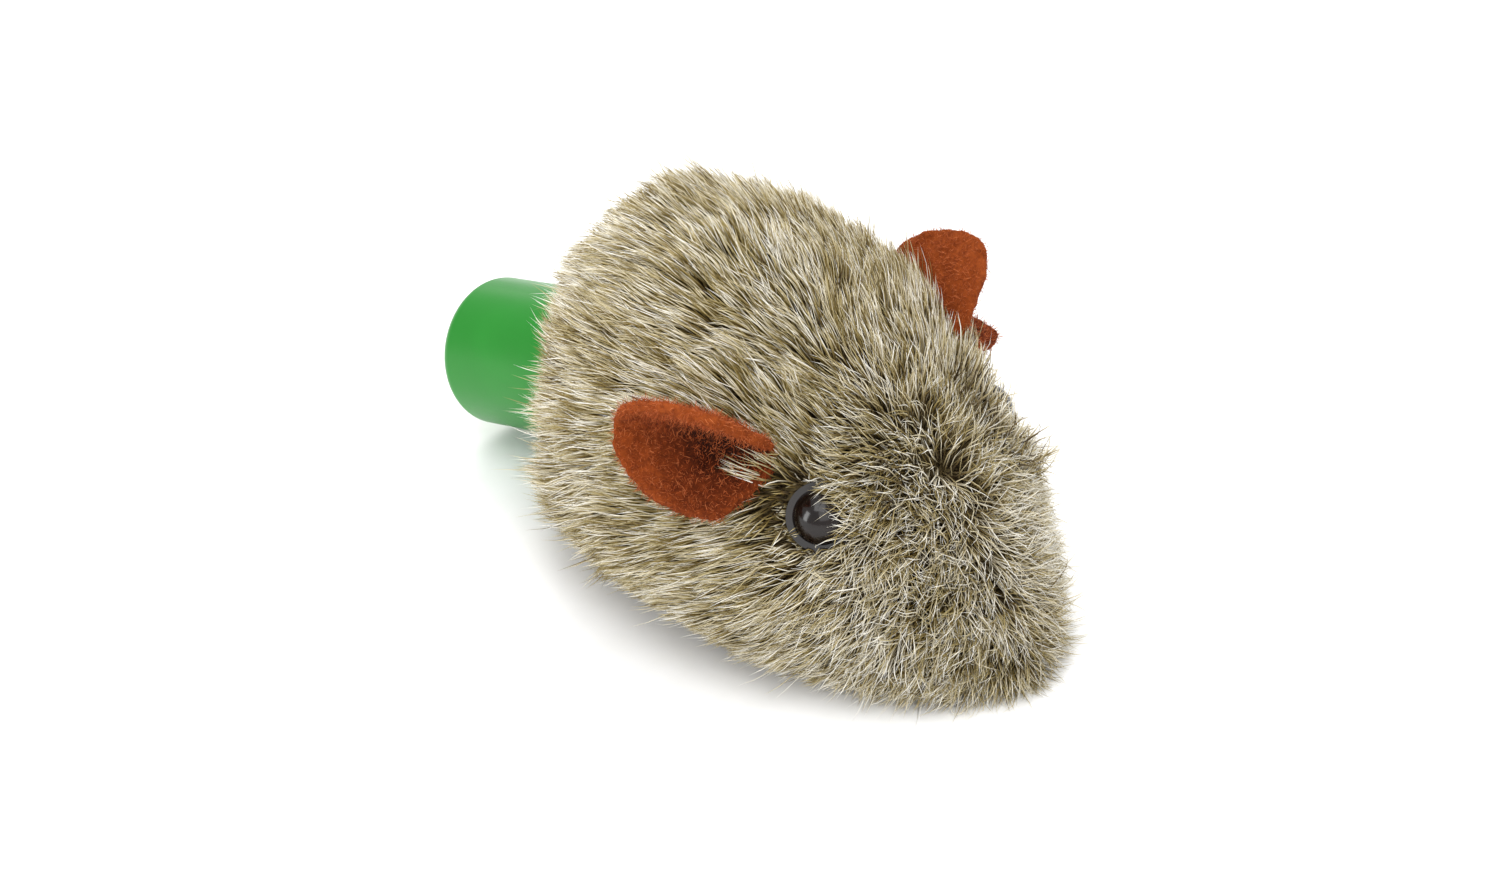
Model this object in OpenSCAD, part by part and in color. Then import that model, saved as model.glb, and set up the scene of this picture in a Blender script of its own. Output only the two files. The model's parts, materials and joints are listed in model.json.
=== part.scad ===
// Wind-up clockwork mouse: a plush cover over a thin plastic shell, a clockwork motor on a
// flat base plate, two driven wheels, a front roller and a winding knob at the tail end.
// Units are millimetres. +X points to the nose, +Y to the mouse's left, +Z up. The origin is
// on the floor, under the middle of the whole length.

/* [Body] */
// Width over the laid fur at the widest place
body_w = 62.4; // [52:0.2:75]
// Height from the floor to the top of the laid fur
body_h = 55.2; // [46:0.2:66.4]
// Fur length ahead of the tall part of the back, up to the nose
nose_l = 54.6; // [46:0.2:66.2]
// Fur length behind the tall part of the back, down to the rump
rump_l = 29.4; // [25:0.2:35]
// How far ahead of the tall part of the back the body is widest
wide_fwd = 12.5; // [8:0.5:16]

/* [Fur cover] */
// Depth of the laid pile and its backing fabric, from the surface to the shell
fur_t = 4.4; // [3:0.1:5.5]
// Trimmed from the tips of the hair, so the cover is the body of the pile
tip_trim = 0.8; // [0.4:0.1:1.2]
// Height of the hem above the floor
hem_z = 1.5; // [0.8:0.1:2.5]
// Gap all round between the backing fabric and the plastic shell
cover_gap = 0.3; // [0.1:0.05:0.5]

/* [Shell and base] */
// Wall thickness of the plastic shell
shell_t = 1.4; // [1:0.1:2]
// Height of the underside of the base plate above the floor
base_z = 3.6; // [3:0.1:4.2]
// Thickness of the base plate
base_t = 1.6; // [1.2:0.1:2.2]
// Gap between the base plate and the shell around it
base_fit = 0.25; // [0.1:0.05:0.5]
// Diameter of the bosses that take the shell screws
boss_d = 4.8; // [4:0.2:6]

/* [Winding knob] */
// Outside diameter of the knob
knob_d = 22.4; // [18.6:0.1:24]
// Length of the knob
knob_l = 25.5; // [21:0.5:27]
// Angle by which the knob and its shaft droop towards the tail
knob_tilt = 15; // [12:0.5:18]
// Wall thickness of the hollow knob
knob_wall = 1.8; // [1.2:0.1:2.4]
// Rounding of the knob's outer rim
knob_round = 2; // [0.5:0.1:3]
// Gap between the knob's lowest edge and the floor
knob_lift = 1; // [0.5:0.1:3]
// How far the knob's closed end stands behind the rump
knob_out = 23.6; // [20:0.2:28]

/* [Ears] */
// Length of each felt ear from its root to its tip
ear_l = 22.1; // [18:0.1:26]
// Width of each felt ear measured round its cup
ear_w = 19; // [15:0.5:23]
// Thickness of the felt
felt_t = 1.9; // [1.2:0.1:2.4]
// Distance of the ear roots ahead of the tall part of the back
ear_fwd = 22.9; // [19:0.1:25]
// Height of the ear roots as a share of the body height
ear_up = 0.656; // [0.54:0.002:0.68]
// How far the ear roots stand outside the laid fur, negative when sunk in it
ear_root_out = 1.4; // [0:0.1:3]
// Angle by which the right ear turns in from the line of the body's side
ear_in_right = 9.7; // [0:0.1:16]
// Angle by which the left ear turns in from the line of the body's side
ear_in_left = 14.1; // [0:0.1:20]
// Angle by which the right ear droops towards its tip
ear_drop_right = 1.1; // [-5:0.1:12]
// Angle by which the left ear droops towards its tip
ear_drop_left = 5; // [-5:0.1:12]
// Angle by which the hollow of the right ear looks up
ear_face_right = 4.5; // [0:0.5:30]
// Angle by which the hollow of the left ear looks up
ear_face_left = 12; // [0:0.5:30]

/* [Eyes] */
// Diameter of the glossy dome of each eye
eye_d = 7.8; // [6:0.1:9]
// Distance of the eyes ahead of the tall part of the back
eye_fwd = 27.9; // [24:0.2:30]
// Height of the eyes as a share of the body height
eye_up = 0.474; // [0.4:0.002:0.5]
// Diameter of the eye's stem
stem_d = 2.4; // [1.8:0.1:3]

/* [Wheels] */
// Diameter of the two driven wheels over their tyres
wheel_d = 20; // [16.6:0.2:22]
// Width of each driven wheel
wheel_w = 3; // [2.4:0.1:3.4]
// Radial thickness of the rubber tyre
tyre_t = 1.4; // [0.8:0.1:2.4]
// Diameter of the front roller
roller_d = 10; // [8.4:0.2:12]
// Width of the front roller
roller_w = 5; // [4:0.1:6]
// Distance of the front roller ahead of the tall part of the back
roller_fwd = 32.5; // [30:0.5:34]

// Gap all round between the driven wheels and the walls beside them
well_gap = 0.4; // [0.3:0.05:0.6]

/* [Clockwork] */
// Least gap between the spring cup's rim and the inside of the shell
cup_gap = 2.2; // [1:0.1:3]
// Distance between the insides of the two motor plates
plate_gap = 20.6; // [20:0.1:21.2]
// Thickness of the motor plates
plate_t = 0.8; // [0.6:0.1:1]
// Outside diameter of the spring cup
cup_d = 16.6; // [14:0.2:16.8]
// Length of the spring cup along the shaft
cup_l = 7.5; // [6.4:0.1:8]
// Diameter of the winding shaft
shaft_d = 2.5; // [2:0.1:3]
// Running clearance of every shaft and pin, on the radius
run = 0.05; // [0.02:0.01:0.1]
// Teeth on the crown wheel, which carries the click
crown_n = 24; // [20:4:28]
// Pitch diameter of the crown wheel
crown_pd = 14.4; // [13:0.1:14.6]
// Teeth on the pinion that the crown wheel drives
lay_n = 10; // [8:1:12]
// Teeth on the large wheel of the middle arbor
big_n = 40; // [36:2:44]
// Teeth on the pinion of the drive axle
drive_n = 12; // [10:1:14]
// Width of the teeth on the large wheel
gear_w = 1.2; // [0.8:0.1:1.3]
// Diameter of the middle arbor
arbor_d = 1.6; // [1.2:0.1:2]
// Diameter of the drive axle
axle_d = 2; // [1.6:0.1:2.4]
// Thickness of the mainspring's steel strip
strip_t = 0.35; // [0.25:0.05:0.45]
// Coils of the mainspring
coils = 6; // [4:1:7]
// Teeth on the ratchet wheel
click_n = 10; // [8:1:12]

/* [Hidden] */
e = 0.01;
NS = 30; // sections along the body
NP = 36; // points round each section

// ---- shape of the body ---------------------------------------------------------------
// The body is a row of upright sections. "i" is how far a surface lies inside the laid fur.
x_hi = -8.5;                       // tallest place of the back, before the shift below
x_wide = x_hi + wide_fwd;          // widest place
x_nose = x_hi + nose_l;
x_rump = x_hi - rump_l;
top_n = 2.1;                       // roundness of the upper half of a section
brow = [1.3, 0.6];                 // fall of the back to the forehead, and of the snout
i_skin = tip_trim + fur_t;         // inside of the cover
i_shell = i_skin + cover_gap;      // outside of the shell
i_room = i_shell + shell_t;        // inside of the shell
function outer(i) = i < i_skin - 1;
function low_n(i) = outer(i) ? 2.15 : 2.4;      // roundness of the lower half
function low_z(i) = outer(i) ? -2.5 : -1.6;     // where the lower half would close
function nose_x(i) = x_nose - 1.15*i;
function rump_x(i) = x_rump + i;
function pw(a, b) = a <= 0 ? 0 : pow(a, b);
function half_w(x, i) = (body_w/2 - i) * (x > x_wide
    ? pw(1 - pow((x - x_wide)/(nose_x(i) - x_wide), 1.8), 0.72)
    : pw(1 - pow((x_wide - x)/(x_wide - rump_x(i)), 2.3), 1/2.3));
function top_z(x, i) = (body_h - i) * (x > x_hi
    ? pw(1 - pow((x - x_hi)/(nose_x(i) - x_hi), brow[0]), brow[1])
    : 0.35 + 0.65*pw(1 - pow((x_hi - x)/(x_hi - rump_x(i)), 3.2), 1/3.2));
function mid_z(x, i) = 0.34*top_z(x, i);
// half width of the section at height z
function wide_at(x, z, i) = let (m = mid_z(x, i), h = top_z(x, i)) half_w(x, i) * (z > m
    ? pw(1 - pow((z - m)/(h - m), top_n), 1/top_n)
    : pw(1 - pow((m - z)/(m - low_z(i)), low_n(i)), 1/low_n(i)));
function sgn_pow(v, p) = sign(v)*pow(abs(v), p);
function section(x, i) = let (w = half_w(x, i), m = mid_z(x, i), h = top_z(x, i))
    [for (k = [0:NP-1]) let (a = 360*k/NP, n = sin(a) > 0 ? top_n : low_n(i))
        [x, w*sgn_pow(cos(a), 2/n),
            m + (sin(a) > 0 ? h - m : m - low_z(i))*sgn_pow(sin(a), 2/n)]];
function station(k, i) = rump_x(i) + (nose_x(i) - rump_x(i))
    *(1 - cos(180*(0.012 + 0.976*k/(NS - 1))))/2;

// Solid whose surface lies i inside the laid fur.
module body_solid(i) {
    pts = [for (k = [0:NS-1]) each section(station(k, i), i)];
    polyhedron(points = pts, faces = concat(
        [[for (j = [0:NP-1]) j]],
        [[for (j = [NP-1:-1:0]) (NS - 1)*NP + j]],
        [for (k = [0:NS-2], j = [0:NP-1]) let (a = k*NP + j, b = k*NP + (j + 1)%NP)
            each [[a, a + NP, b + NP], [a, b + NP, b]]]), convexity = 6);
}
// value below 1 inside the surface i, and its outward direction
function level(p, i) = let (x = p[0], m = mid_z(x, i), h = top_z(x, i), y = abs(p[1]))
    p[2] > m ? pow(y/half_w(x, i), top_n) + pow((p[2] - m)/(h - m), top_n)
             : pow(y/half_w(x, i), low_n(i)) + pow((m - p[2])/(m - low_z(i)), low_n(i));
function unit(v) = v/norm(v);
function outward(p, i) = let (d = 0.02) unit([for (a = [[d, 0, 0], [0, d, 0], [0, 0, d]])
    level(p + a, i) - level(p - a, i)]);
// distance along v from p at which the surface i is met
function reach(p, v, i, lo, hi, n = 20) = n == 0 ? (lo + hi)/2 : let (c = (lo + hi)/2)
    level(p + c*v, i) < 1 ? reach(p, v, i, c, hi, n - 1) : reach(p, v, i, lo, c, n - 1);

// ---- shaft of the winding knob --------------------------------------------------------
knob_r = knob_d/2;
end_x = x_rump - knob_out;
end_z = knob_r*cos(knob_tilt) + knob_lift;
fwd = [cos(knob_tilt), 0, sin(knob_tilt)];
module on_shaft(t) translate([end_x, 0, end_z]) rotate([0, 90 - knob_tilt, 0])
    translate([0, 0, t]) children();
function shaft_pt(t) = [end_x, 0, end_z] + t*fwd;
// middle of the whole length, from the knob's upper rear edge to the fur at the nose
nose_end = x_hi + (nose_x(tip_trim) - x_hi)
    *pow(1 - pow(hem_z/(body_h - tip_trim), 1/brow[1]), 1/brow[0]);
knob_end = end_x - (knob_r - knob_round)*sin(knob_tilt)
    + knob_round*cos(knob_tilt) - knob_round;
x_mid = (nose_end + knob_end)/2;
module placed() translate([-x_mid, 0, 0]) children();

// ---- clockwork positions --------------------------------------------------------------
bore = run + shaft_d/2;
// the cup starts where every point of its rim just clears the inside of the shell
rim = [for (a = [0:30:330]) cup_d/2*[sin(a)*sin(knob_tilt), cos(a), -sin(a)*cos(knob_tilt)]];
function rim_in(t, k = 0) = k == len(rim) ? true : let (p = shaft_pt(t) + rim[k])
    p[0] > rump_x(i_room + cup_gap) + 0.1 && level(p, i_room + cup_gap) < 1
    && rim_in(t, k + 1);
function cup_start(lo, hi, n = 22) = n == 0 ? hi : let (c = (lo + hi)/2)
    rim_in(c) ? cup_start(lo, c, n - 1) : cup_start(c, hi, n - 1);
cup_t0 = cup_start(20, 60);
cup_t1 = cup_t0 + cup_l;
lid_t = 0.8;
ratchet_t0 = cup_t1 + lid_t + 0.5;
ratchet_w = 1.2;
crown_t0 = ratchet_t0 + ratchet_w + 0.4;
crown_t = 1.2;
crown_m = crown_pd/crown_n;
crown_face = 0.23*crown_pd/2;
pitch_t = crown_t0 + crown_t + crown_m;
lay_pr = crown_m*lay_n/2;
arbor_t = pitch_t + lay_pr;
shaft_end_t = min(arbor_t - arbor_d/2 - 0.5, crown_t0 + crown_t + 1.7);
arbor = shaft_pt(arbor_t);
axle = [arbor[0], 0, wheel_d/2];
big_m = 2*(arbor[2] - axle[2])/(big_n + drive_n);
big_pr = big_m*big_n/2;
plate_in = plate_gap/2;
plate_out = plate_in + plate_t;
crown_out = crown_pd/2 + crown_face/2;
big_y = crown_out + 0.6;            // inner face of the large wheel, on the right side
wheel_y = plate_out + 0.7;          // inner face of a driven wheel
base_top = base_z + base_t;
plate_x0 = arbor[0] - big_pr - 0.2;
plate_x1 = arbor[0] + big_pr + 0.6;
roller_x = x_hi + roller_fwd;
pin_d = 1.6;
front_boss_x = nose_x(i_room) - 6;
rear_boss = [rump_x(i_room) + 5.6, 6.2];
lug_l = 1.7;
lug_w = 3.6;
lug_c = shaft_pt(cup_t0 + lug_l/2);
// point a along the shaft and b across it from the middle of a lug
function at_lug(a, b) = [lug_c[0] + a*fwd[0] - b*fwd[2], lug_c[2] + a*fwd[2] + b*fwd[0]];

// ---- gear outlines --------------------------------------------------------------------
function inv(a) = tan(a)*180/PI - a;
// one side of a tooth, from the root to the tip: [radius, half angle]
function flank(n, m, slack) = let (pa = 25, r = m*n/2, rb = r*cos(pa), rt = r + 0.75*m,
    r0 = max(rb, r - 0.95*m), h = 90/n - slack/(2*r)*180/PI + inv(pa))
    [for (k = [0:4]) let (q = r0 + (rt - r0)*k/4) [q, h - inv(acos(min(1, rb/q)))]];
function gear_pts(n, m, slack) = let (f = flank(n, m, slack), root = m*n/2 - m)
    [for (k = [0:n-1]) let (c = 360*k/n) each concat(
        [[root*cos(c - f[0][1]), root*sin(c - f[0][1])]],
        [for (p = f) [p[0]*cos(c - p[1]), p[0]*sin(c - p[1])]],
        [for (j = [4:-1:0]) [f[j][0]*cos(c + f[j][1]), f[j][0]*sin(c + f[j][1])]],
        [[root*cos(c + f[0][1]), root*sin(c + f[0][1])]])];
// a spur gear with a round bore, its axis along Y, from y0 to y0 + w
module spur(c, y0, w, n, m, bore_r, turn) translate([c[0], y0 + w, c[2]])
    rotate([90, 0, 0]) difference() {
        linear_extrude(w) rotate(turn) polygon(gear_pts(n, m, 0.08));
        translate([0, 0, -1]) cylinder(r = bore_r, h = w + 2, $fn = 48);
    }
// a round bar along Y
module bar(c, y0, y1, r) translate([c[0], y1, c[2]]) rotate([90, 0, 0])
    cylinder(r = r, h = y1 - y0, $fn = 48);

// ---- plush cover ------------------------------------------------------------------------
eye_p = [for (s = [-1, 1]) let (x = x_hi + eye_fwd, z = eye_up*body_h)
    [x, s*wide_at(x, z, i_skin), z]];
module at_eye(k) {
    v = outward(eye_p[k], i_skin);
    translate(eye_p[k]) rotate([0, acos(v[2]), atan2(v[1], v[0])]) children();
}
fabric = 1; // backing fabric left under each eye
module fur_cover() placed() color([0.62, 0.57, 0.46]) difference() {
    body_solid(tip_trim);
    body_solid(i_skin);
    translate([-150, -100, hem_z - 60]) cube([300, 200, 60]);
    on_shaft(-5) cylinder(r = knob_r + 0.6, h = knob_l + 12, $fn = 72);
    for (k = [0, 1]) at_eye(k) {
        translate([0, 0, fabric]) cylinder(d = eye_d + 2.6, h = 14, $fn = 48);
        translate([0, 0, -6]) cylinder(d = stem_d + 0.2, h = 12, $fn = 32);
    }
    wheel_wells();
    // the pile lies flat under the ears and is parted in front of them
    for (s = [-1, 1]) ear_solid(s, 0.15, 12, 10, 14);
}

// room for the driven wheels in the walls beside them
module wheel_wells() for (s = [-1, 1]) bar(axle,
    s > 0 ? wheel_y - 0.6 : -wheel_y - wheel_w - well_gap,
    s > 0 ? wheel_y + wheel_w + well_gap : -wheel_y + 0.6, wheel_d/2 + well_gap);

// ---- plastic shell ----------------------------------------------------------------------
module upper_shell() placed() color([0.2, 0.2, 0.21]) {
    difference() {
        body_solid(i_shell);
        body_solid(i_room);
        translate([-150, -100, base_z - 60]) cube([300, 200, 60]);
        on_shaft(0) cylinder(r = shaft_d/2 + 2.2, h = cup_t0, $fn = 48);
        wheel_wells();
        for (k = [0, 1]) at_eye(k)
            translate([0, 0, -6]) cylinder(d = stem_d + 0.2, h = 12, $fn = 32);
    }
    // bosses for the screws that hold the base plate
    difference() {
        union() {
            translate([front_boss_x, 0, base_top + 0.05])
                cylinder(d = boss_d, h = front_boss_h, $fn = 40);
            for (s = [-1, 1]) translate([rear_boss[0], s*rear_boss[1], base_top + 0.05]) {
                cylinder(d = boss_d, h = 8, $fn = 40);
                translate([-rear_rib, -0.8, 0]) cube([rear_rib, 1.6, 5]);
            }
        }
        for (p = boss_pts) translate([p[0], p[1], 0])
            cylinder(r = screw_r - 0.05, h = base_top + 0.05 + screw_deep + 0.3, $fn = 32);
    }
}
screw_r = 0.9;
screw_deep = 1.6;
front_boss_h = top_z(front_boss_x, i_room) + shell_t*0.5 - base_top;
rear_rib = rear_boss[0] - (rear_x(rear_boss[1], base_top + 2.5) - shell_t*0.5);
// rear wall of the room inside the shell, at the side offset y and height z
function rear_x(y, z, lo = rump_x(i_room), hi = x_hi, n = 24) = n == 0 ? (lo + hi)/2 :
    let (c = (lo + hi)/2) wide_at(c, z, i_room) > y ? rear_x(y, z, lo, c, n - 1)
                                                   : rear_x(y, z, c, hi, n - 1);
boss_pts = [[front_boss_x, 0], [rear_boss[0], rear_boss[1]], [rear_boss[0], -rear_boss[1]]];

// ---- base plate -------------------------------------------------------------------------
base_x0 = rear_x(1.5, base_z) + 0.6;
base_x1 = front_boss_x + 3.4;
function base_half(x) = min(wide_at(x, base_z, i_room), wide_at(x, base_top, i_room))
    - base_fit;
base_n = 44;
function base_x(k) = base_x0 + (base_x1 - base_x0)*(1 - cos(180*k/base_n))/2;
screw_head_r = 1.7;
module base_plate() placed() color([0.16, 0.16, 0.17]) difference() {
    union() {
        plate_outline();
        // cheeks that carry the roller pin
        for (s = [-1, 1]) translate([roller_x - 2.2, s*(roller_w/2 + 1.8) - 1, base_top - e])
            cube([4.4, 2, cheek_top - base_top + e]);
    }
    bar([roller_x, 0, roller_d/2], -20, 20, pin_d/2);
}
module plate_outline() difference() {
        translate([0, 0, base_z]) linear_extrude(base_t) polygon(concat(
            [for (k = [0:base_n]) [base_x(k), -base_half(base_x(k))]],
            [for (k = [base_n:-1:0]) [base_x(k), base_half(base_x(k))]]));
        // notches for the driven wheels, open to the side
        for (s = [-1, 1]) translate([axle[0] - wheel_gap, s*(wheel_y - 0.55) - (s < 0 ? 30 : 0),
            base_z - 1]) cube([2*wheel_gap, 30, base_t + 2]);
        // slot for the front roller
        translate([roller_x - roller_d/2 - 0.9, -roller_w/2 - 0.8, base_z - 1])
            cube([roller_d + 1.8, roller_w + 1.6, base_t + 2]);
        for (p = boss_pts) translate([p[0], p[1], base_z - 1]) {
            cylinder(r = screw_r + 0.2, h = 10, $fn = 32);
            cylinder(r = screw_head_r + 0.2, h = 1 + 0.8, $fn = 32);
        }
        for (p = motor_pts) translate([p[0], p[1], base_z - 1]) {
            cylinder(r = screw_r + 0.2, h = 10, $fn = 32);
            cylinder(r = screw_head_r + 0.2, h = 1 + 0.8, $fn = 32);
        }
        // window under the axle's pinion
        bar(axle, -plate_in, -big_y + 0.8, big_m*(drive_n/2 + 0.75) + 0.5);
}
wheel_gap = sqrt(max(1, pow(wheel_d/2, 2) - pow(max(0, wheel_d/2 - base_top), 2))) + 0.8;
cheek_top = max(base_top + 1, roller_d/2) + 2.2;

// ---- ears -------------------------------------------------------------------------------
ear_x0 = x_hi + ear_fwd;
ear_z0 = ear_up*body_h;
ear_widest = 0.27;
// The ear lies back along a straight line from its root. Frame of the ear on side s:
// along it, across it and out of its hollow.
ear_side = atan((wide_at(ear_x0 - 8, ear_z0, 0) - wide_at(ear_x0, ear_z0, 0))/8);
function ear_axes(s) = let (o = ear_side - (s > 0 ? ear_in_left : ear_in_right),
    d = s > 0 ? ear_drop_left : ear_drop_right, n = s > 0 ? ear_face_left : ear_face_right,
    v = [-cos(o)*cos(d), s*sin(o)*cos(d), -sin(d)], up = unit([0, 0, 1] - v[2]*v),
    q = cross(v, up)*s) [v, cos(n)*up - sin(n)*q, cos(n)*q + sin(n)*up];
function ear_half(u) = ear_w/2*(u > ear_widest
    ? max(0.14, sqrt(max(0, 1 - pow((u - ear_widest)/(1 - ear_widest), 2))))
    : 0.3 + 0.7*sin(90*u/ear_widest));
function ear_bend(u) = 80 - 45*u;
// Point of the felt: u along, v across, h through its thickness, g straight out of the hollow.
function ear_pt(s, x, u, v, h, g) = let (a = ear_bend(u), r = ear_half(u)*180/PI/a, q = a*v)
    [ear_x0, s*ear_y0, ear_z0] + ear_l*u*x[0] + (r*sin(q) - h*sin(q))*x[1]
    + (r*(1 - cos(q)) + h*cos(q) + g + 5.4*u*(1 - u))*x[2];
// half width of the laid fur where the ear is rooted
ear_y0 = wide_at(ear_x0, ear_z0, 0) + ear_root_out;
module ear_solid(s, grow, nu, nv, open) {
    x = ear_axes(s);
    us = [for (a = [0:nu]) (1 + grow*0.06)*(1 - cos(180*a/nu))/2*0.985 - grow*0.03];
    vs = [for (b = [0:nv]) (1 + grow*0.06)*(-1 + 2*b/nv)];
    w = nv + 1;
    n1 = (nu + 1)*w;
    pts = concat([for (u = us, v = vs) ear_pt(s, x, u, v, open > 0 ? 0 : felt_t/2, open)],
        [for (u = us, v = vs) ear_pt(s, x, u, v, -felt_t/2 - grow, 0)]);
    top = [for (a = [0:nu-1], b = [0:nv-1]) let (p = a*w + b)
        each [[p, p + w, p + w + 1], [p, p + w + 1, p + 1]]];
    bot = [for (f = top) [n1 + f[2], n1 + f[1], n1 + f[0]]];
    rim = concat([for (a = [0:nu-1]) [a*w, (a + 1)*w]],
        [for (b = [0:nv-1]) [nu*w + b, nu*w + b + 1]],
        [for (a = [nu:-1:1]) [a*w + nv, (a - 1)*w + nv]],
        [for (b = [nv:-1:1]) [b, b - 1]]);
    side = [for (g = rim) each [[g[1], g[0], n1 + g[0]], [g[1], n1 + g[0], n1 + g[1]]]];
    fs = concat(top, bot, side);
    polyhedron(points = pts, faces = s < 0 ? fs : [for (f = fs) [f[2], f[1], f[0]]],
        convexity = 6);
}
module ear_left() placed() color([0.6, 0.28, 0.14]) ear_solid(1, 0, 22, 16, 0);
module ear_right() placed() color([0.6, 0.28, 0.14]) ear_solid(-1, 0, 22, 16, 0);

// ---- eyes -------------------------------------------------------------------------------
eye_flange = 0.8;
stem_end = [for (k = [0, 1]) reach(eye_p[k], -outward(eye_p[k], i_skin), i_room, 8, 0)];
module eye(k) placed() at_eye(k) color([0.09, 0.06, 0.05]) {
    translate([0, 0, fabric]) rotate_extrude($fn = 64) difference() {
        union() {
            square([eye_d/2 + 0.9, eye_flange]);
            translate([0, eye_flange - 0.3]) intersection() {
                scale([1, 0.98]) circle(d = eye_d, $fn = 96);
                square([eye_d, eye_d]);
            }
        }
        translate([-20, -10]) square([20, 30]);
    }
    translate([0, 0, -stem_end[k] - 2.6]) cylinder(d = stem_d, h = stem_end[k] + 2.7 + fabric,
        $fn = 48);
}
module eye_left() eye(1);
module eye_right() eye(0);
module eye_washers() placed() color([0.75, 0.75, 0.76]) for (k = [0, 1]) at_eye(k)
    translate([0, 0, -stem_end[k] - 1.9]) difference() {
        cylinder(d = eye_d + 0.4, h = 0.8, $fn = 48);
        translate([0, 0, -1]) cylinder(d = stem_d, h = 3, $fn = 48);
    }

// ---- winding knob, shaft and ratchet ------------------------------------------------------
hub_r = 4;
module winding_knob() placed() on_shaft(0) color([0.2, 0.58, 0.26]) difference() {
    union() {
        difference() {
            rotate_extrude($fn = 128) polygon(concat([[0, 0]],
                [for (a = [0:6:90]) [knob_r - knob_round + knob_round*sin(a),
                    knob_round - knob_round*cos(a)]],
                [[knob_r, knob_l], [0, knob_l]]));
            translate([0, 0, knob_wall]) cylinder(r = knob_r - knob_wall, h = knob_l, $fn = 96);
        }
        translate([0, 0, knob_wall - e]) cylinder(r = hub_r, h = knob_l - knob_wall, $fn = 64);
        // ribs between the hub and the wall
        for (a = [0:60:300]) rotate(a) translate([hub_r - 0.5, -0.6, knob_wall - e])
            cube([knob_r - knob_wall - hub_r + 0.9, 1.2, knob_l - knob_wall - 3]);
    }
    translate([0, 0, 6]) cylinder(d = shaft_d, h = knob_l, $fn = 48);
}
module winding_shaft() placed() color([0.72, 0.72, 0.74]) {
    on_shaft(6) cylinder(d = shaft_d, h = shaft_end_t - 6, $fn = 48);
    // collar that keeps the crown wheel on
    on_shaft(crown_t0 + crown_t + 0.15) cylinder(d = shaft_d + 1.8, h = 0.8, $fn = 48);
}
module ratchet_wheel() placed() on_shaft(ratchet_t0) color([0.7, 0.7, 0.72]) difference() {
    linear_extrude(ratchet_w) polygon([for (k = [0:click_n-1]) let (a = 360*k/click_n)
        each [[3.9*cos(a), 3.9*sin(a)], [3*cos(a + 4), 3*sin(a + 4)]]]);
    translate([0, 0, -1]) cylinder(d = shaft_d, h = 4, $fn = 48);
}
module shaft_bush() placed() on_shaft(cup_t0 - 2) color([0.78, 0.62, 0.3]) difference() {
    cylinder(r = shaft_d/2 + 1, h = 3.6, $fn = 48);
    translate([0, 0, -1]) cylinder(r = bore, h = 6, $fn = 48);
}

// ---- spring cup, lid and mainspring -------------------------------------------------------
cup_wall = 0.5;
module spring_cup() placed() on_shaft(cup_t0) color([0.66, 0.67, 0.7]) {
    difference() {
        cylinder(d = cup_d, h = cup_l, $fn = 96);
        translate([0, 0, 0.8]) cylinder(d = cup_d - 2*cup_wall, h = cup_l, $fn = 96);
        translate([0, 0, -1]) cylinder(r = shaft_d/2 + 1, h = 3, $fn = 48);
    }
    // lugs that pass through the motor plates
    for (s = [-1, 1]) translate([-lug_w/2, s < 0 ? -plate_out - 0.3 : cup_d/2 - 0.8, 0])
        cube([lug_w, plate_out + 0.3 - cup_d/2 + 0.8, lug_l]);
}
module cup_lid() placed() on_shaft(cup_t1) color([0.7, 0.71, 0.74]) difference() {
    cylinder(d = cup_d, h = lid_t, $fn = 96);
    translate([0, 0, -1]) cylinder(r = bore, h = 3, $fn = 48);
}
spring_r0 = shaft_d/2 + 0.25;
spring_r1 = cup_d/2 - cup_wall - 0.15;
function coil_r(a) = spring_r0 + (spring_r1 - strip_t - spring_r0)*a/(360*coils);
module mainspring() placed() on_shaft(cup_t0 + 1.9) color([0.35, 0.38, 0.45])
    linear_extrude(cup_l - 2.3) polygon(concat(
        [for (a = [0:15:360*coils]) coil_r(a)*[cos(a), sin(a)]],
        [for (a = [360*coils:-15:0]) (coil_r(a) + strip_t)*[cos(a), sin(a)]]));

// ---- crown wheel and its click --------------------------------------------------------------
crown_half = PI*crown_m/4 - 0.1;
module crown_wheel() placed() on_shaft(crown_t0) color([0.8, 0.66, 0.32]) {
    difference() {
        cylinder(r = crown_out, h = crown_t, $fn = 96);
        translate([0, 0, -1]) cylinder(r = bore, h = 4, $fn = 48);
    }
    for (k = [0:crown_n-1]) rotate(90 + 360*k/crown_n)
        translate([crown_out - crown_face, 0, crown_t - e]) rotate([90, 0, 90])
            linear_extrude(crown_face) polygon([
                [-crown_half - 0.95*crown_m*tan(25), 0],
                [crown_half + 0.95*crown_m*tan(25), 0],
                [crown_half - 0.75*crown_m*tan(25), 1.75*crown_m + e],
                [-crown_half + 0.75*crown_m*tan(25), 1.75*crown_m + e]]);
    // rivet of the click
    translate([-5.6, 0, -ratchet_w - 0.3]) cylinder(r = 0.6, h = ratchet_w + 0.4, $fn = 32);
}
// a leaf of spring steel that leans into a tooth of the ratchet
module click_spring() placed() on_shaft(ratchet_t0 + 0.2) color([0.6, 0.62, 0.66]) difference() {
    union() {
        translate([-5.6, 0, 0]) cylinder(r = 1.1, h = 0.7, $fn = 32);
        linear_extrude(0.7) polygon(concat(
            [for (a = [180:12:288]) (5.9 - 1.55*pow((a - 180)/108, 2))*[cos(a), sin(a)]],
            [for (a = [288:-12:180]) (5.5 - 1.55*pow((a - 180)/108, 2))*[cos(a), sin(a)]]));
    }
    translate([-5.6, 0, -1]) cylinder(r = 0.6, h = 3, $fn = 32);
}

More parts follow.
